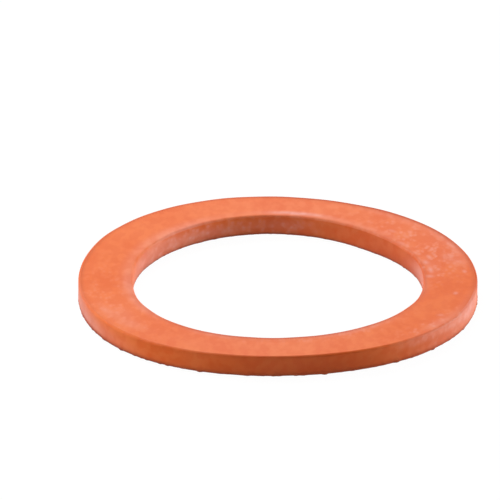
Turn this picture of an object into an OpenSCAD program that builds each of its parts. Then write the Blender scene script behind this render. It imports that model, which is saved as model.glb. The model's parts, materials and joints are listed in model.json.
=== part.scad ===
// Flat ring gasket moulded in one piece from soft silicone rubber.
// It lies flat on its lower sealing face: Z = 0 is that face and Z is the axis of the bore.

/* [Ring] */
// Outer diameter, across the rim
outer_d = 56; // [50:0.5:90]
// Diameter of the bore that the pipe's flow passes through
bore_d = 41.5; // [10:0.5:46]
// Thickness between the two sealing faces
thickness = 3; // [1.5:0.1:8]

/* [Edges] */
// Radius that rounds the four edges between the faces and the walls
edge_r = 0.35; // [0.1:0.05:0.5]

/* [Hidden] */

// Facets in a full turn of the ring, and of one rounded edge
ring_facets = 240;
edge_facets = 32;

// Width of the sealing faces, from the bore to the rim
band_w = (outer_d - bore_d) / 2;

// Rectangle of the given width and height with a corner at the origin and all its corners rounded
module rounded_section(width, height, radius) {
    translate([radius, 0])
        square([width - 2 * radius, height]);
    translate([0, radius])
        square([width, height - 2 * radius]);
    for (x = [radius, width - radius], y = [radius, height - radius])
        translate([x, y])
            circle(r = radius, $fn = edge_facets);
}

// The ring: its rounded section carried once round the axis of the bore
module gasket_ring() {
    color("coral")
        rotate_extrude($fn = ring_facets)
            translate([bore_d / 2, 0])
                rounded_section(band_w, thickness, edge_r);
}

gasket_ring();
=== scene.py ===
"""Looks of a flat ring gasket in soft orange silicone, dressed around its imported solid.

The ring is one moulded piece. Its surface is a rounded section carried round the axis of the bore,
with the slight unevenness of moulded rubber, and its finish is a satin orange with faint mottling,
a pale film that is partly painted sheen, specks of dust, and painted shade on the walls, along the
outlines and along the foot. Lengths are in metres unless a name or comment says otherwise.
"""

import json
import logging
import math
from dataclasses import dataclass
from enum import Enum
from typing import Any

import bpy
import numpy as np
from mathutils import Matrix, Vector


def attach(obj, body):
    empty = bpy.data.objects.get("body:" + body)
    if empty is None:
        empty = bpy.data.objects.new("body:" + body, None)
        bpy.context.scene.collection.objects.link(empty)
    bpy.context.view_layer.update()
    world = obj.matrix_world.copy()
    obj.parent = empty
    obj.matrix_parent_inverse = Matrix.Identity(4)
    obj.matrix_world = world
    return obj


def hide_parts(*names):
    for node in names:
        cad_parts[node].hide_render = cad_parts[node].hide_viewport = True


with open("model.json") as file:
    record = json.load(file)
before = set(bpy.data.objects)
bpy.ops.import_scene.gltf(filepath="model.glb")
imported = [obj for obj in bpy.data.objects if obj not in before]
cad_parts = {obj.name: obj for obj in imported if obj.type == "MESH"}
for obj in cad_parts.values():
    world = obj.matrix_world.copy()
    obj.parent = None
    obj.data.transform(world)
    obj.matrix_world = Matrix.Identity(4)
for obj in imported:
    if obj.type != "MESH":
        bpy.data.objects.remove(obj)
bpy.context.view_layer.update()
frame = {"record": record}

LOG = logging.getLogger("gasket")
MM = 0.001
NODE = "gasket_ring"
BODY = "root"
QUARTER_TURN = math.pi / 2
FULL_TURN = 2 * math.pi
Z_AXIS = 2

Colour = tuple[float, float, float, float]
Socket = bpy.types.NodeSocket


def grey(level: float) -> Colour:
    """Makes an opaque grey, where level 1 is white."""
    return (level, level, level, 1.0)


WHITE = grey(1.0)


class Surface(Enum):
    """The four sides of the ring's section, in the order that the section runs through them."""

    LOWER_FACE = 0
    RIM_WALL = 1
    UPPER_FACE = 2
    BORE_WALL = 3

    @property
    def is_wall(self) -> bool:
        """Whether this side stands upright, so that places across it are heights."""
        return self in (Surface.RIM_WALL, Surface.BORE_WALL)


@dataclass(frozen=True)
class RingSize:
    """The ring's sizes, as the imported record's mounts state them."""

    rim_radius: float
    bore_radius: float
    thickness: float
    edge_radius: float

    @classmethod
    def from_record(cls, record: dict[str, Any]) -> "RingSize":
        """Reads the sizes from the mounts.

        Args:
            record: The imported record.

        Returns:
            The rim, the bore, the height between the faces, and the edge radius that is left
            over when the straight part of the rim is taken from that height.
        """
        mounts = {mount["name"]: mount for mount in record["mounts"]}
        rim = mounts["rim"]["dims"]
        bore = mounts["bore"]["dims"]
        thickness = mounts["upper_face"]["pos_m"][Z_AXIS] - mounts["lower_face"]["pos_m"][Z_AXIS]
        edge_radius = (thickness - rim["length_mm"] * MM) / 2
        return cls(rim["r_mm"] * MM, bore["r_mm"] * MM, thickness, edge_radius)


@dataclass(frozen=True)
class SectionPoints:
    """The ring's closed section as arrays, one value for each point along it.

    Attributes:
        radial: Distance from the axis of the bore.
        height: Height above the lower face.
        out_radial: Radial part of the outward normal.
        out_height: Upward part of the outward normal.
        side: Number of the Surface that the point belongs to.
    """

    radial: np.ndarray
    height: np.ndarray
    out_radial: np.ndarray
    out_height: np.ndarray
    side: np.ndarray


@dataclass(frozen=True)
class Section:
    """The rounded rectangle that is carried round the axis.

    Attributes:
        size: The ring's sizes.
        side_steps: Steps along the straight part of each side, in the order of Surface.
        edge_steps: Steps along each rounded edge.
    """

    size: RingSize
    side_steps: tuple[int, int, int, int] = (12, 18, 44, 18)
    edge_steps: int = 8

    def points(self) -> SectionPoints:
        """Lays the section out, starting after the edge between the bore and the lower face.

        Each side is a straight run between two edge centres, moved out by the edge radius, and
        each rounded edge is a quarter turn of that radius about the centre where the run ends.

        Returns:
            The points of the whole loop, with the solid on the left of the way round.
        """
        size = self.size
        low_r, high_r = size.bore_radius + size.edge_radius, size.rim_radius - size.edge_radius
        low_z, high_z = size.edge_radius, size.thickness - size.edge_radius
        centres = np.array([(low_r, low_z), (high_r, low_z), (high_r, high_z), (low_r, high_z)])
        runs, normals, sides = [], [], []
        for surface, steps in zip(Surface, self.side_steps):
            start = centres[surface.value]
            end = centres[(surface.value + 1) % len(centres)]
            facing = QUARTER_TURN * (surface.value - 1)
            share = np.arange(steps)[:, None] / steps
            turn = facing + QUARTER_TURN * np.arange(self.edge_steps) / self.edge_steps
            flat = np.full(steps, facing)
            runs += [start + (end - start) * share, np.repeat(end[None], self.edge_steps, 0)]
            normals += [flat, turn]
            sides += [np.full(steps + self.edge_steps, surface.value)]
        angle = np.concatenate(normals)
        out = np.stack([np.cos(angle), np.sin(angle)], 1)
        place = np.concatenate(runs) + out * size.edge_radius
        return SectionPoints(place[:, 0], place[:, 1], out[:, 0], out[:, 1], np.concatenate(sides))


def bell(distance: np.ndarray, spread: float) -> np.ndarray:
    """Works out a bell curve: 1 in the middle, and about 0.6 one spread away from it."""
    return np.exp(-((distance / spread) ** 2) / 2)


def angle_from(angle: np.ndarray, middle: float) -> np.ndarray:
    """Works out how far each angle lies from a middle, the shorter way round, in degrees."""
    return np.degrees(np.angle(np.exp(1j * (angle - math.radians(middle)))))


@dataclass(frozen=True)
class Patch:
    """A soft-edged place on the ring that is filmed over or painted with sheen, dusty, linty, or
    painted with shade.

    Attributes:
        surface: The side of the section that it lies on.
        angle: Its middle, in degrees round the axis from +X towards +Y.
        angle_spread: How far it fades out each way round, in degrees.
        across_mm: Its middle across the side: the radius on a face, or the height on a wall.
        across_spread_mm: How far it fades out across the side.
        strength: Its value at the middle, where 1 covers fully.
    """

    surface: Surface
    angle: float
    angle_spread: float
    across_mm: float
    across_spread_mm: float
    strength: float

    def cover(self, angle: np.ndarray, section: SectionPoints) -> np.ndarray:
        """Works out how strongly the patch covers each point of the ring's grid.

        The cover is a bell curve round the axis times a bell curve across the side, and it is
        nothing on the other sides of the section.

        Args:
            angle: Angles of the grid round the axis, in radians.
            section: Points of the section.

        Returns:
            One value for each angle and section point.
        """
        across = section.height if self.surface.is_wall else section.radial
        round_part = bell(angle_from(angle, self.angle), self.angle_spread)
        across_part = bell(across / MM - self.across_mm, self.across_spread_mm)
        on_side = section.side == self.surface.value
        return self.strength * round_part[:, None] * (across_part * on_side)[None]


# The pale film, partly painted sheen and highlights on the flanks of the rim and along the inner edge
# of the upper face: on the bore wall, on the rim wall and on the upper face, each in the order of the
# angles.
FILM_AND_SHEEN_PATCHES = (
    Patch(Surface.BORE_WALL, 11, 7, 1.7, 1.0, 0.46),
    Patch(Surface.BORE_WALL, 20, 6, 0.9, 0.8, 0.20),
    Patch(Surface.BORE_WALL, 45, 26, 1.5, 2.5, 0.06),
    Patch(Surface.BORE_WALL, 88, 8, 1.4, 0.8, 0.15),
    Patch(Surface.BORE_WALL, 116, 11, 1.1, 0.7, 0.25),
    Patch(Surface.BORE_WALL, 135, 10, 1.4, 1.0, 0.16),
    Patch(Surface.BORE_WALL, 153, 12, 1.3, 1.2, 0.33),
    Patch(Surface.BORE_WALL, 162, 6, 0.8, 1.0, 0.12),
    Patch(Surface.RIM_WALL, 188, 7, 2.2, 0.8, 0.15),
    Patch(Surface.RIM_WALL, 196, 11, 1.0, 0.9, 0.56),
    Patch(Surface.RIM_WALL, 218, 8, 0.9, 0.7, 0.04),
    Patch(Surface.RIM_WALL, 314, 6, 2.5, 0.6, 0.16),
    Patch(Surface.RIM_WALL, 324, 10, 0.7, 0.5, 0.13),
    Patch(Surface.RIM_WALL, 328, 9, 2.4, 0.8, 0.24),
    Patch(Surface.RIM_WALL, 344, 8, 2.1, 1.0, 0.54),
    Patch(Surface.UPPER_FACE, 12, 6, 22.4, 0.7, 0.10),
    Patch(Surface.UPPER_FACE, 14, 3, 26.3, 0.9, 0.10),
    Patch(Surface.UPPER_FACE, 18, 2.5, 25.0, 0.6, 0.13),
    Patch(Surface.UPPER_FACE, 28, 8, 27.3, 0.7, 0.16),
    Patch(Surface.UPPER_FACE, 28, 12, 25.4, 1.8, 0.05),
    Patch(Surface.UPPER_FACE, 50, 20, 21.4, 0.5, 0.10),
    Patch(Surface.UPPER_FACE, 51, 8, 26.8, 0.6, 0.12),
    Patch(Surface.UPPER_FACE, 78, 36, 24.5, 4.0, 0.08),
    Patch(Surface.UPPER_FACE, 83, 7.5, 21.8, 0.42, 0.52),
    Patch(Surface.UPPER_FACE, 132, 10, 20.9, 0.3, 0.20),
    Patch(Surface.UPPER_FACE, 140, 22, 21.6, 0.6, 0.16),
    Patch(Surface.UPPER_FACE, 187, 12, 21.2, 0.7, 0.20),
    Patch(Surface.UPPER_FACE, 206, 4, 26.2, 0.6, 0.13),
    Patch(Surface.UPPER_FACE, 209, 4, 24.2, 0.8, 0.08),
    Patch(Surface.UPPER_FACE, 209, 8, 21.2, 0.6, 0.20),
    Patch(Surface.UPPER_FACE, 217, 5, 25.5, 0.8, 0.12),
    Patch(Surface.UPPER_FACE, 247, 9, 21.4, 0.5, 0.15),
    Patch(Surface.UPPER_FACE, 266, 30, 24.5, 4.0, 0.07),
    Patch(Surface.UPPER_FACE, 298, 14, 21.4, 0.5, 0.22),
    Patch(Surface.UPPER_FACE, 324, 5, 27.0, 0.6, 0.15),
    Patch(Surface.UPPER_FACE, 334, 9, 27.5, 0.5, 0.14),
    Patch(Surface.UPPER_FACE, 350, 8, 21.0, 0.5, 0.12),
)

# The dust, which is thickest on the right of the upper face and on the far side of the bore.
DUST_PATCHES = (
    Patch(Surface.BORE_WALL, 88, 9, 1.2, 0.6, 0.6),
    Patch(Surface.BORE_WALL, 122, 24, 1.4, 0.9, 1.0),
    Patch(Surface.RIM_WALL, 334, 14, 2.0, 0.8, 0.7),
    Patch(Surface.UPPER_FACE, 10, 9, 22.2, 1.2, 0.8),
    Patch(Surface.UPPER_FACE, 32, 18, 24.2, 3.0, 0.9),
    Patch(Surface.UPPER_FACE, 200, 20, 24.5, 3.0, 0.4),
    Patch(Surface.UPPER_FACE, 285, 25, 21.8, 1.0, 0.6),
    Patch(Surface.UPPER_FACE, 322, 10, 26.8, 1.2, 0.7),
)

# Single specks of lint on the right of the upper face.
LINT_PATCHES = (
    Patch(Surface.UPPER_FACE, 2.7, 0.9, 21.6, 0.38, 0.32),
    Patch(Surface.UPPER_FACE, 6.1, 0.8, 26.4, 0.18, 0.34),
    Patch(Surface.UPPER_FACE, 8.8, 1.8, 21.9, 0.20, 0.42),
    Patch(Surface.UPPER_FACE, 16.1, 1.4, 21.7, 0.28, 0.34),
    Patch(Surface.UPPER_FACE, 20.2, 1.2, 22.7, 0.20, 0.32),
    Patch(Surface.UPPER_FACE, 25.5, 1.1, 21.5, 0.20, 0.22),
    Patch(Surface.UPPER_FACE, 25.9, 1.2, 27.0, 0.20, 0.22),
    Patch(Surface.UPPER_FACE, 35.6, 1.4, 21.4, 0.24, 0.18),
    Patch(Surface.UPPER_FACE, 39.6, 1.2, 23.2, 0.24, 0.14),
    Patch(Surface.UPPER_FACE, 46.0, 1.2, 22.9, 0.26, 0.20),
    Patch(Surface.UPPER_FACE, 330.0, 0.7, 25.9, 0.30, 0.20),
    Patch(Surface.UPPER_FACE, 348.5, 0.8, 25.4, 0.20, 0.34),
)

# Painted shade, darker places that stand in for shade: broad ones on the walls and the upper face, and
# narrow dark lines along the outlines and the foot of the rim.
SHADE_PATCHES = (
    Patch(Surface.BORE_WALL, 30, 16, 0.5, 0.60, 0.30),
    Patch(Surface.BORE_WALL, 36, 28, 1.5, 3.0, 0.39),
    Patch(Surface.BORE_WALL, 142, 14, 1.2, 1.2, 0.14),
    Patch(Surface.RIM_WALL, 5, 9, 1.8, 2.0, 0.30),
    Patch(Surface.RIM_WALL, 70, 50, 3.0, 0.20, 0.90),
    Patch(Surface.RIM_WALL, 184, 12, 1.8, 2.0, 0.28),
    Patch(Surface.RIM_WALL, 200, 10, 0.9, 0.9, 0.20),
    Patch(Surface.RIM_WALL, 205, 20, 0.3, 0.25, 0.85),
    Patch(Surface.RIM_WALL, 256, 22, 2.9, 0.35, 0.20),
    Patch(Surface.RIM_WALL, 280, 25, 1.2, 2.5, 0.54),
    Patch(Surface.RIM_WALL, 325, 25, 0.3, 0.20, 0.30),
    Patch(Surface.UPPER_FACE, 8, 25, 20.8, 0.25, 0.35),
    Patch(Surface.UPPER_FACE, 66, 46, 27.7, 0.32, 0.90),
    Patch(Surface.UPPER_FACE, 70, 16, 27.0, 0.4, 0.14),
    Patch(Surface.UPPER_FACE, 168, 22, 27.75, 0.28, 0.45),
    Patch(Surface.UPPER_FACE, 264, 14, 22.0, 0.5, 0.10),
    Patch(Surface.UPPER_FACE, 270, 42, 21.1, 0.3, 0.75),
    Patch(Surface.UPPER_FACE, 348, 24, 24.5, 4.0, 0.12),
    Patch(Surface.LOWER_FACE, 206, 24, 28.0, 0.40, 1.00),
)


def total_cover(patches: tuple[Patch, ...], angle: np.ndarray, section: SectionPoints) -> np.ndarray:
    """Adds up the cover of several patches on the ring's grid."""
    return sum(patch.cover(angle, section) for patch in patches)


@dataclass(frozen=True)
class Wave:
    """A slow wave round the axis, by which the soft ring is out of flat or out of round.

    Attributes:
        turns: Number of waves in a full turn.
        depth: Largest rise or fall.
        high_angle: Where one of the waves is highest, in degrees.
    """

    turns: int
    depth: float
    high_angle: float

    def at(self, angle: np.ndarray) -> np.ndarray:
        """Works out the cosine wave at each angle, as a column for the ring's grid."""
        return self.depth * np.cos(self.turns * (angle - math.radians(self.high_angle)))[:, None]


@dataclass(frozen=True)
class Swell:
    """A short stretch round the axis where a wall of the soft ring stands out of true.

    Attributes:
        angle: Its middle, in degrees.
        spread: How far it fades out each way round, in degrees.
        depth: How far the wall is moved at most.
    """

    angle: float
    spread: float
    depth: float

    def at(self, angle: np.ndarray) -> np.ndarray:
        """Works out the bell curve at each angle, as a column for the ring's grid."""
        return self.depth * bell(angle_from(angle, self.angle), self.spread)[:, None]


def total_swell(swells: tuple[Swell, ...], angle: np.ndarray) -> np.ndarray:
    """Adds up several swells round the axis."""
    return sum(swell.at(angle) for swell in swells)


@dataclass(frozen=True)
class Unevenness:
    """The slight waviness of moulded rubber and the ragged trim along its lower edges.

    Attributes:
        seed: Seed of the wave phases.
        wave_count: Number of waves that are added up.
        wave_depth: Largest rise or fall of the waviness.
        wave_turns: Fewest and most waves in a full turn.
        wave_laps: Fewest and most waves along the section.
        trim_depth: How far the ragged trim may stand out of the rim's lower edge.
        bore_trim: Share of that depth along the bore's lower edge.
        trim_turns: Fewest and most waves of the trim in a full turn.
        trim_peak: Height of the added waves, in their spreads, at which the trim is full.
    """

    seed: int = 11
    wave_count: int = 24
    wave_depth: float = 0.015 * MM
    wave_turns: tuple[int, int] = (2, 25)
    wave_laps: tuple[int, int] = (-2, 2)
    trim_depth: float = 0.13 * MM
    bore_trim: float = 0.4
    trim_turns: tuple[int, int] = (40, 170)
    trim_peak: float = 2.0

    def rise(self, angle: np.ndarray, section: SectionPoints, size: RingSize) -> np.ndarray:
        """Works out how far each point of the ring's grid moves along its outward normal.

        The waviness is a sum of cosine waves with whole numbers of turns round the axis and of
        laps along the section. The trim is a sum of finer waves round the axis, cut off below
        zero and at its peak, under a bell curve about each lower edge.

        Args:
            angle: Angles of the grid round the axis.
            section: Points of the section.
            size: The ring's sizes.

        Returns:
            One distance for each angle and section point.
        """
        draw = np.random.default_rng(self.seed)
        along = np.linspace(0, FULL_TURN, len(section.radial), endpoint=False)
        turns = draw.integers(*self.wave_turns, (self.wave_count, 1, 1), endpoint=True)
        laps = draw.integers(*self.wave_laps, (self.wave_count, 1, 1), endpoint=True)
        phase = draw.uniform(0, FULL_TURN, (self.wave_count, 1, 1))
        wave = np.cos(turns * angle[:, None] + laps * along + phase).sum(0)
        trim_turns = draw.integers(*self.trim_turns, (self.wave_count, 1), endpoint=True)
        trim_phase = draw.uniform(0, FULL_TURN, (self.wave_count, 1))
        trim = np.cos(trim_turns * angle + trim_phase).sum(0)
        at_rim = bell(np.hypot(section.radial - size.rim_radius, section.height), size.edge_radius)
        at_bore = bell(np.hypot(section.radial - size.bore_radius, section.height), size.edge_radius)
        spread = math.sqrt(self.wave_count)
        ragged = np.clip(trim / (spread * self.trim_peak), 0, 1)[:, None]
        trim_rise = self.trim_depth * ragged * (at_rim + self.bore_trim * at_bore)
        return self.wave_depth * wave / spread + trim_rise


class NodeSheet:
    """Adds nodes to one node tree and links them up.

    Attributes:
        MIX_SHARE: Number of a Mix node's share input.
        MIX_FIRST: Number of its first colour input, because inputs of other kinds have the same name.
        MIX_SECOND: Number of its second colour input.
        MIX_COLOUR: Number of its colour output.
    """

    MIX_SHARE = 0
    MIX_FIRST = 6
    MIX_SECOND = 7
    MIX_COLOUR = 2

    def __init__(self, tree: bpy.types.NodeTree) -> None:
        """Clears the tree.

        Args:
            tree: The node tree of a material or of the world.
        """
        tree.nodes.clear()
        self.tree = tree

    def add(self, kind: str, inputs: dict[Any, Any] | None = None, **settings: Any) -> bpy.types.Node:
        """Adds a node.

        Args:
            kind: The node's type name.
            inputs: Input names or numbers, each with a value or a socket to link from.
            settings: Other settings of the node.

        Returns:
            The new node.
        """
        node = self.tree.nodes.new(kind)
        for name, value in settings.items():
            setattr(node, name, value)
        for key, value in (inputs or {}).items():
            if isinstance(value, Socket):
                self.tree.links.new(value, node.inputs[key])
            else:
                node.inputs[key].default_value = value
        return node

    def noise(self, place: Socket, width: float, detail: float) -> Socket:
        """Adds soft noise whose blotches are about one width across."""
        inputs = {"Vector": place, "Scale": 1 / width, "Detail": detail}
        return self.add("ShaderNodeTexNoise", inputs).outputs[0]

    def grains(self, place: Socket, spacing: float) -> Socket:
        """Adds scattered grains, as the distance to the nearest one in spacings."""
        inputs = {"Vector": place, "Scale": 1 / spacing}
        return self.add("ShaderNodeTexVoronoi", inputs).outputs["Distance"]

    def ramp(self, value: Socket, low: float, high: float) -> Socket:
        """Adds a smooth step that runs from 0 at low to 1 at high."""
        inputs = {"Value": value, "From Min": low, "From Max": high}
        return self.add("ShaderNodeMapRange", inputs, interpolation_type="SMOOTHSTEP").outputs[0]

    def math(self, operation: str, *numbers: Socket | float) -> Socket:
        """Adds a sum, product or other step on two or three numbers."""
        return self.add("ShaderNodeMath", dict(enumerate(numbers)), operation=operation).outputs[0]

    def mix(self, share: Socket, first: Socket | Colour, second: Socket | Colour) -> Socket:
        """Adds a mix of two colours."""
        inputs = {self.MIX_SHARE: share, self.MIX_FIRST: first, self.MIX_SECOND: second}
        return self.add("ShaderNodeMix", inputs, data_type="RGBA").outputs[self.MIX_COLOUR]

    def attribute(self, name: str) -> Socket:
        """Adds a reading of one of the mesh's own values."""
        return self.add("ShaderNodeAttribute", attribute_name=name).outputs["Fac"]


@dataclass(frozen=True)
class Blotches:
    """Soft noise of which a range is picked out.

    Attributes:
        width: How wide a blotch is.
        detail: How many finer layers of noise are added.
        low: Noise value at which a blotch starts.
        high: Noise value at which a blotch is full.
    """

    width: float
    detail: float
    low: float
    high: float

    def add(self, sheet: NodeSheet, place: Socket) -> Socket:
        """Adds the noise and picks its range out."""
        return sheet.ramp(sheet.noise(place, self.width, self.detail), self.low, self.high)


@dataclass(frozen=True)
class Grains:
    """Soft round grains, scattered evenly.

    Attributes:
        spacing: About how far the grains lie apart.
        reach: How far from its middle a grain fades out, in spacings.
    """

    spacing: float
    reach: float

    def add(self, sheet: NodeSheet, place: Socket) -> Socket:
        """Adds the grains, each full in its middle."""
        return sheet.ramp(sheet.grains(place, self.spacing), self.reach, 0.0)


@dataclass(frozen=True)
class SiliconeFinish:
    """Satin orange silicone with faint mottling, pale film that is partly painted sheen, dust, and
    painted shade.

    Attributes:
        orange: Main colour, linear.
        salmon: Paler colour of the mottles.
        brown: Deeper colour of the painted shade.
        deep: Darkest colour, the painted contact shade along the foot of the walls.
        pale: Colour of the film and its painted sheen, of dust and of lint.
        roughness: Roughness of the clean surface.
        roughness_change: How much the fine mottles and the film add to it at most.
        refraction: Refractive index of silicone rubber.
        specular_level: Strength of its gloss, which is low because the surface is dull.
        lie: Scale of the blotches along X, Y and Z, which lie a little along Y.
        broad: Broad mottles.
        fine: Fine mottles.
        fine_share: Share of the fine mottles in the mottling.
        film_and_sheen_break: Share of the film, with its painted sheen, that the fine mottles break up.
        powder: Grains of the dust.
        powder_strength: How pale the dust is at most.
        grain: Width of the surface grain.
        grain_detail: How many finer layers of noise are added to it.
        grain_depth: Depth of the surface grain.
    """

    orange: Colour = (0.80, 0.125, 0.008, 1.0)
    salmon: Colour = (0.87, 0.186, 0.038, 1.0)
    brown: Colour = (0.48, 0.060, 0.012, 1.0)
    deep: Colour = (0.13, 0.024, 0.020, 1.0)
    pale: Colour = (0.93, 0.550, 0.510, 1.0)
    roughness: float = 0.48
    roughness_change: float = 0.14
    refraction: float = 1.41
    specular_level: float = 0.30
    lie: tuple[float, float, float] = (1.0, 0.6, 1.0)
    broad: Blotches = Blotches(width=5 * MM, detail=2.0, low=0.36, high=0.66)
    fine: Blotches = Blotches(width=1.2 * MM, detail=1.5, low=0.38, high=0.64)
    fine_share: float = 0.55
    film_and_sheen_break: float = 0.3
    powder: Grains = Grains(spacing=0.62 * MM, reach=0.75)
    powder_strength: float = 0.31
    grain: float = 0.35 * MM
    grain_detail: float = 2.0
    grain_depth: float = 0.012 * MM

    def material(self) -> bpy.types.Material:
        """Builds the material.

        The colour runs from orange to salmon with broad and fine mottles. Film that is partly painted
        sheen, dust and lint lighten it where the mesh says that they lie, places of painted shade are
        browner, and the foot of the walls is darkest with painted contact shade. Roughness rises with
        the film, and the grain is a fine bump.

        Returns:
            The new material.
        """
        material = bpy.data.materials.new("orange_silicone")
        material.use_nodes = True
        sheet = NodeSheet(material.node_tree)
        place = sheet.add("ShaderNodeTexCoord").outputs["Object"]
        laid = sheet.add("ShaderNodeMapping", {"Vector": place, "Scale": self.lie}).outputs[0]
        fine = self.fine.add(sheet, laid)
        film = self._film_and_sheen(sheet, fine)
        shader = sheet.add(
            "ShaderNodeBsdfPrincipled",
            {
                "Base Color": self._colour(sheet, laid, fine, film),
                "Roughness": self._dullness(sheet, fine, film),
                "IOR": self.refraction,
                "Specular IOR Level": self.specular_level,
                "Normal": self._grain(sheet, place),
            },
        )
        sheet.add("ShaderNodeOutputMaterial", {"Surface": shader.outputs[0]})
        return material

    def _film_and_sheen(self, sheet: NodeSheet, fine: Socket) -> Socket:
        """Adds the film, partly painted sheen: the mesh's own value, partly broken up by the fine
        mottles.
        """
        broken = sheet.math("MULTIPLY_ADD", fine, self.film_and_sheen_break, 1 - self.film_and_sheen_break)
        return sheet.math("MULTIPLY", sheet.attribute("film"), broken)

    def _colour(self, sheet: NodeSheet, laid: Socket, fine: Socket, film: Socket) -> Socket:
        """Adds the colour.

        Args:
            sheet: The material's nodes.
            laid: Object coordinates, scaled along the lie of the blotches.
            fine: The fine mottles.
            film: The film, partly painted sheen.

        Returns:
            The colour for the shader.
        """
        broad = sheet.math("MULTIPLY", self.broad.add(sheet, laid), 1 - self.fine_share)
        mottling = sheet.math("MULTIPLY_ADD", fine, self.fine_share, broad)
        powder = sheet.math("MULTIPLY", self.powder.add(sheet, laid), self.powder_strength)
        dust = sheet.math("MULTIPLY", sheet.math("MULTIPLY", powder, fine), sheet.attribute("dust"))
        colour = sheet.mix(mottling, self.orange, self.salmon)
        # Pale film, partly painted sheen and highlights.
        colour = sheet.mix(film, colour, self.pale)
        colour = sheet.mix(sheet.math("MAXIMUM", dust, sheet.attribute("lint")), colour, self.pale)
        # Painted shade: browner where the mesh's shade value lies.
        colour = sheet.mix(sheet.attribute("shade"), colour, self.brown)
        # Painted contact shade, darkest along the foot of the walls.
        return sheet.mix(sheet.attribute("foot"), colour, self.deep)

    def _dullness(self, sheet: NodeSheet, fine: Socket, film: Socket) -> Socket:
        """Adds the roughness, which grows with the film and the fine mottles."""
        dull = sheet.math("MAXIMUM", fine, film)
        return sheet.math("MULTIPLY_ADD", dull, self.roughness_change, self.roughness)

    def _grain(self, sheet: NodeSheet, place: Socket) -> Socket:
        """Adds the surface grain as a fine bump."""
        grain = sheet.noise(place, self.grain, self.grain_detail)
        return sheet.add("ShaderNodeBump", {"Distance": self.grain_depth, "Height": grain}).outputs[0]


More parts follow.
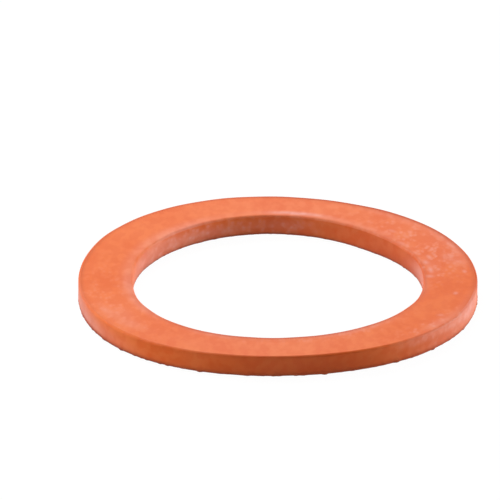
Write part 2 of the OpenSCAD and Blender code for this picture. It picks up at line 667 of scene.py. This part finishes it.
@dataclass(frozen=True)
class GasketRing:
    """The whole gasket: one closed surface and its silicone finish.

    Attributes:
        size: The ring's sizes.
        finish: The ring's finish.
        bow: How it lies out of flat: two opposite stretches a little higher than the others.
        rim_wave: How the rim is out of round.
        rim_swells: Where the rim stands out a little, at the back of the picture.
        bore_wave: How the bore is out of round.
        bore_swells: Where the bore stands in a little, at the left and right ends of the picture.
        foot_swells: Where only the foot of the bore stands in, so that its wall leans.
        unevenness: The departures of moulded rubber from the true section.
        turn_steps: Steps round the axis.
        bloom: Thin film that lies all over the upper face.
        foot_width: Width over which the painted contact shade along the foot of the walls fades.
        foot_strength: Strength of that line.
    """

    size: RingSize
    finish: SiliconeFinish = SiliconeFinish()
    bow: Wave = Wave(turns=2, depth=0.28 * MM, high_angle=111)
    rim_wave: Wave = Wave(turns=4, depth=0.27 * MM, high_angle=45)
    rim_swells: tuple[Swell, ...] = (Swell(angle=100, spread=15, depth=0.36 * MM),)
    bore_wave: Wave = Wave(turns=2, depth=0.34 * MM, high_angle=90)
    bore_swells: tuple[Swell, ...] = (
        Swell(angle=180, spread=9, depth=0.28 * MM),
        Swell(angle=0, spread=9, depth=0.20 * MM),
    )
    foot_swells: tuple[Swell, ...] = (Swell(angle=54, spread=15, depth=0.48 * MM),)
    unevenness: Unevenness = Unevenness()
    turn_steps: int = 720
    bloom: float = 0.045
    foot_width: float = 0.18 * MM
    foot_strength: float = 2.2

    def build(self) -> bpy.types.Object:
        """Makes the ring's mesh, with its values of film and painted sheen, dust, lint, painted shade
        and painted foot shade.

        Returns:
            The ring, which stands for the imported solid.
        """
        section = Section(self.size).points()
        angle = np.linspace(0, FULL_TURN, self.turn_steps, endpoint=False)
        mesh = self._mesh(self._grid(angle, section))
        for name, value in self._values(angle, section).items():
            store = mesh.attributes.new(name, "FLOAT", "POINT")
            store.data.foreach_set("value", np.clip(value, 0, 1).astype(np.float32).ravel())
        ring = bpy.data.objects.new("gasket_ring_surface", mesh)
        bpy.context.scene.collection.objects.link(ring)
        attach(ring, BODY)
        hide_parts(NODE)
        return ring

    def _grid(self, angle: np.ndarray, section: SectionPoints) -> np.ndarray:
        """Works out the places of the ring's points.

        The surface is the section carried round the axis: a point at angle a has the place
        (r cos a, r sin a, z). The unevenness moves r and z along the section's normal, the bow
        lifts z, and r grows by the rim's wave with its swells and by the bore's wave less its
        swells, shared out across the band. The swells of the foot fade out evenly from the lower
        face to the upper. The whole ring then stands on its lowest point.

        Args:
            angle: Angles of the grid round the axis.
            section: Points of the section.

        Returns:
            The coordinates of each point, by angle and step along the section.
        """
        size = self.size
        rise = self.unevenness.rise(angle, section, size)
        share = (section.radial - size.bore_radius) / (size.rim_radius - size.bore_radius)
        lowness = 1 - section.height / size.thickness
        lean = total_swell(self.foot_swells, angle) * lowness
        bore = self.bore_wave.at(angle) - total_swell(self.bore_swells, angle) - lean
        rim = self.rim_wave.at(angle) + total_swell(self.rim_swells, angle)
        stretch = bore * (1 - share) + rim * share
        radial = section.radial + rise * section.out_radial + stretch
        height = section.height + rise * section.out_height + self.bow.at(angle)
        x = radial * np.cos(angle)[:, None]
        y = radial * np.sin(angle)[:, None]
        return np.stack([x, y, height - height.min()], 2)

    def _values(self, angle: np.ndarray, section: SectionPoints) -> dict[str, np.ndarray]:
        """Works out the values that the finish reads from the mesh.

        Args:
            angle: Angles of the grid round the axis.
            section: Points of the section.

        Returns:
            The film with its painted sheen, dust, lint, painted shade and painted foot shade of each
            point, by angle and step along the section.
        """
        on_top = section.side == Surface.UPPER_FACE.value
        return {
            "film": self.bloom * on_top + total_cover(FILM_AND_SHEEN_PATCHES, angle, section),
            "dust": total_cover(DUST_PATCHES, angle, section),
            "lint": total_cover(LINT_PATCHES, angle, section),
            "shade": total_cover(SHADE_PATCHES, angle, section),
            "foot": np.broadcast_to(self._foot_shade(section), (len(angle), len(section.radial))),
        }

    def _foot_shade(self, section: SectionPoints) -> np.ndarray:
        """Works out the painted contact shade, a dark line along the foot of both walls.

        It is strongest at the lower corners of the section, and it fades with the height and with
        the distance from the nearer wall.

        Args:
            section: Points of the section.

        Returns:
            One value for each section point.
        """
        from_rim = self.size.rim_radius - section.radial
        from_bore = section.radial - self.size.bore_radius
        from_corner = section.height + np.minimum(from_rim, from_bore)
        return self.foot_strength * np.exp(-from_corner / self.foot_width)

    def dress(self, ring: bpy.types.Object) -> None:
        """Gives the ring its finish."""
        ring.data.materials.append(self.finish.material())

    @staticmethod
    def _mesh(grid: np.ndarray) -> bpy.types.Mesh:
        """Joins a grid that closes on itself both ways into a mesh of quads facing outwards.

        Args:
            grid: Places of the points, by step round the axis and step along the section.

        Returns:
            The smooth-shaded mesh.
        """
        turns, steps = grid.shape[:2]
        number = np.arange(turns * steps).reshape(turns, steps)
        ahead = np.roll(number, -1, 0)
        quads = np.stack([number, ahead, np.roll(ahead, -1, 1), np.roll(number, -1, 1)], 2)
        mesh = bpy.data.meshes.new("gasket_ring_surface")
        mesh.from_pydata(grid.reshape(-1, 3), [], quads.reshape(-1, 4))
        mesh.polygons.foreach_set("use_smooth", np.ones(turns * steps, bool))
        mesh.update()
        return mesh


@dataclass(frozen=True)
class SoftBox:
    """A square area lamp that faces the ring.

    Attributes:
        name: The lamp's name.
        place: Where it hangs.
        side: Length of its sides.
        power: Its power in watts.
    """

    name: str
    place: tuple[float, float, float]
    side: float
    power: float

    def hang(self) -> None:
        """Makes the lamp and turns it to the origin."""
        light = bpy.data.lights.new(self.name, "AREA")
        light.shape = "SQUARE"
        light.size = self.side
        light.energy = self.power
        lamp = bpy.data.objects.new(self.name, light)
        lamp.location = self.place
        lamp.rotation_euler = (-Vector(self.place)).to_track_quat("-Z", "Y").to_euler()
        lamp.visible_camera = False
        bpy.context.scene.collection.objects.link(lamp)


@dataclass(frozen=True)
class Studio:
    """The white table, the white surroundings and the lamps.

    Attributes:
        lamps: The lamps.
        table_side: Length of the table's sides.
        table_white: How much light the table sends back.
        table_glow: Share of plain white in the table as the camera sees it.
        table_level: Brightness of that plain white.
        room_light: Brightness of the surroundings as a source of light.
        room_level: Brightness of the surroundings where they are seen.
    """

    lamps: tuple[SoftBox, ...] = (
        SoftBox("overhead_lamp", place=(-0.22, 0.26, 0.58), side=0.50, power=4.15),
        SoftBox("left_lamp", place=(-0.78, 0.0, 0.21), side=0.36, power=2.45),
        SoftBox("right_lamp", place=(0.75, 0.20, 0.15), side=0.26, power=4.5),
        SoftBox("front_lamp", place=(-0.05, -0.70, 0.20), side=0.30, power=0.32),
    )
    table_side: float = 4.0
    table_white: float = 0.91
    table_glow: float = 0.95
    table_level: float = 1.03
    room_light: float = 0.056
    room_level: float = 1.0

    def build(self) -> None:
        """Makes the table, the surroundings and the lamps, and sets the view transform."""
        self._table()
        self._surroundings()
        for lamp in self.lamps:
            lamp.hang()
        bpy.context.scene.view_settings.view_transform = "Standard"

    @staticmethod
    def _seen(sheet: NodeSheet) -> Socket:
        """Adds the test for rays on which the background shows: straight, mirrored or through glass."""
        path = sheet.add("ShaderNodeLightPath").outputs
        mirrored = sheet.math("MAXIMUM", path["Is Glossy Ray"], path["Is Transmission Ray"])
        return sheet.math("MAXIMUM", path["Is Camera Ray"], mirrored)

    def _table(self) -> None:
        """Makes the table top, level with the ring's lower face: pale, and nearly white where seen."""
        half = self.table_side / 2
        corners = np.array([(-half, -half, 0), (half, -half, 0), (half, half, 0), (-half, half, 0)])
        mesh = bpy.data.meshes.new("table_top")
        mesh.from_pydata(corners, [], [(0, 1, 2, 3)])
        material = bpy.data.materials.new("white_table")
        material.use_nodes = True
        sheet = NodeSheet(material.node_tree)
        matt = sheet.add("ShaderNodeBsdfDiffuse", {"Color": grey(self.table_white)})
        glow = sheet.add("ShaderNodeEmission", {"Color": WHITE, "Strength": self.table_level})
        share = sheet.math("MULTIPLY", self._seen(sheet), self.table_glow)
        parts = (share, matt.outputs[0], glow.outputs[0])
        mixed = sheet.add("ShaderNodeMixShader", dict(enumerate(parts)))
        sheet.add("ShaderNodeOutputMaterial", {"Surface": mixed.outputs[0]})
        mesh.materials.append(material)
        table = bpy.data.objects.new("table_top", mesh)
        bpy.context.scene.collection.objects.link(table)

    def _surroundings(self) -> None:
        """Makes the surroundings: white where seen, and dim as a source of light."""
        world = bpy.data.worlds.new("white_surroundings")
        world.use_nodes = True
        sheet = NodeSheet(world.node_tree)
        steps = {"Value": self._seen(sheet), "To Min": self.room_light, "To Max": self.room_level}
        level = sheet.add("ShaderNodeMapRange", steps)
        light = sheet.add("ShaderNodeBackground", {"Color": WHITE, "Strength": level.outputs[0]})
        sheet.add("ShaderNodeOutputWorld", {"Surface": light.outputs[0]})
        bpy.context.scene.world = world


@dataclass(frozen=True)
class PictureCamera:
    """A distant camera that sees the ring as the photograph does.

    Attributes:
        size: The ring's sizes.
        elevation: Height above the horizon, in degrees.
        roll: How far the picture is turned clockwise, in degrees.
        reach: Distance from the ring's centre, in rim radii.
        picture_pixels: Width and height of the square picture.
        rim_pixels: The rim's radius in the picture.
        centre_pixel: Where the centre of the lower face lies in the picture, from its top left.
        sensor_mm: Width of the camera's sensor.
    """

    size: RingSize
    elevation: float = 23.75
    roll: float = 0.26
    reach: float = 60.0
    picture_pixels: int = 500
    rim_pixels: float = 201.5
    centre_pixel: tuple[float, float] = (277.8, 298.95)
    sensor_mm: float = 36.0

    def build(self) -> None:
        """Makes the camera and sets it as the scene's.

        It stands on the -Y side at its elevation and looks at the point that lies in the middle
        of the picture, which is the ring's centre moved across the view by its pixel offset.
        """
        rise = math.radians(self.elevation)
        back = Vector((0.0, -math.cos(rise), math.sin(rise)))
        frame_turn = Matrix.Rotation(math.radians(self.roll), 3, back)
        right = frame_turn @ Vector((1.0, 0.0, 0.0))
        up = frame_turn @ Vector((0.0, math.sin(rise), math.cos(rise)))
        pixel = self.size.rim_radius / self.rim_pixels
        middle = self.picture_pixels / 2
        aside = (middle - self.centre_pixel[0]) * pixel
        above = (self.centre_pixel[1] - middle) * pixel
        target = right * aside + up * above
        data = bpy.data.cameras.new("picture_camera")
        data.sensor_width = self.sensor_mm
        data.lens = self.rim_pixels * self.reach * self.sensor_mm / self.picture_pixels
        camera = bpy.data.objects.new("picture_camera", data)
        place = back * (self.reach * self.size.rim_radius)
        ahead = (target - place).normalized()
        side = ahead.cross(up).normalized()
        turned = Matrix((side, side.cross(ahead), -ahead)).transposed()
        camera.matrix_world = Matrix.Translation(place) @ turned.to_4x4()
        bpy.context.scene.collection.objects.link(camera)
        bpy.context.scene.camera = camera


def main() -> None:
    """Builds the ring, the studio and the camera."""
    logging.basicConfig(level=logging.INFO, format="%(name)s: %(message)s")
    size = RingSize.from_record(frame["record"])
    LOG.info("rim %.2f mm, bore %.2f mm", size.rim_radius / MM, size.bore_radius / MM)
    gasket = GasketRing(size)
    ring = gasket.build()
    gasket.dress(ring)
    LOG.info("%s: %d faces on body %s", ring.name, len(ring.data.polygons), BODY)
    Studio().build()
    PictureCamera(size).build()


if __name__ == "__main__":
    main()
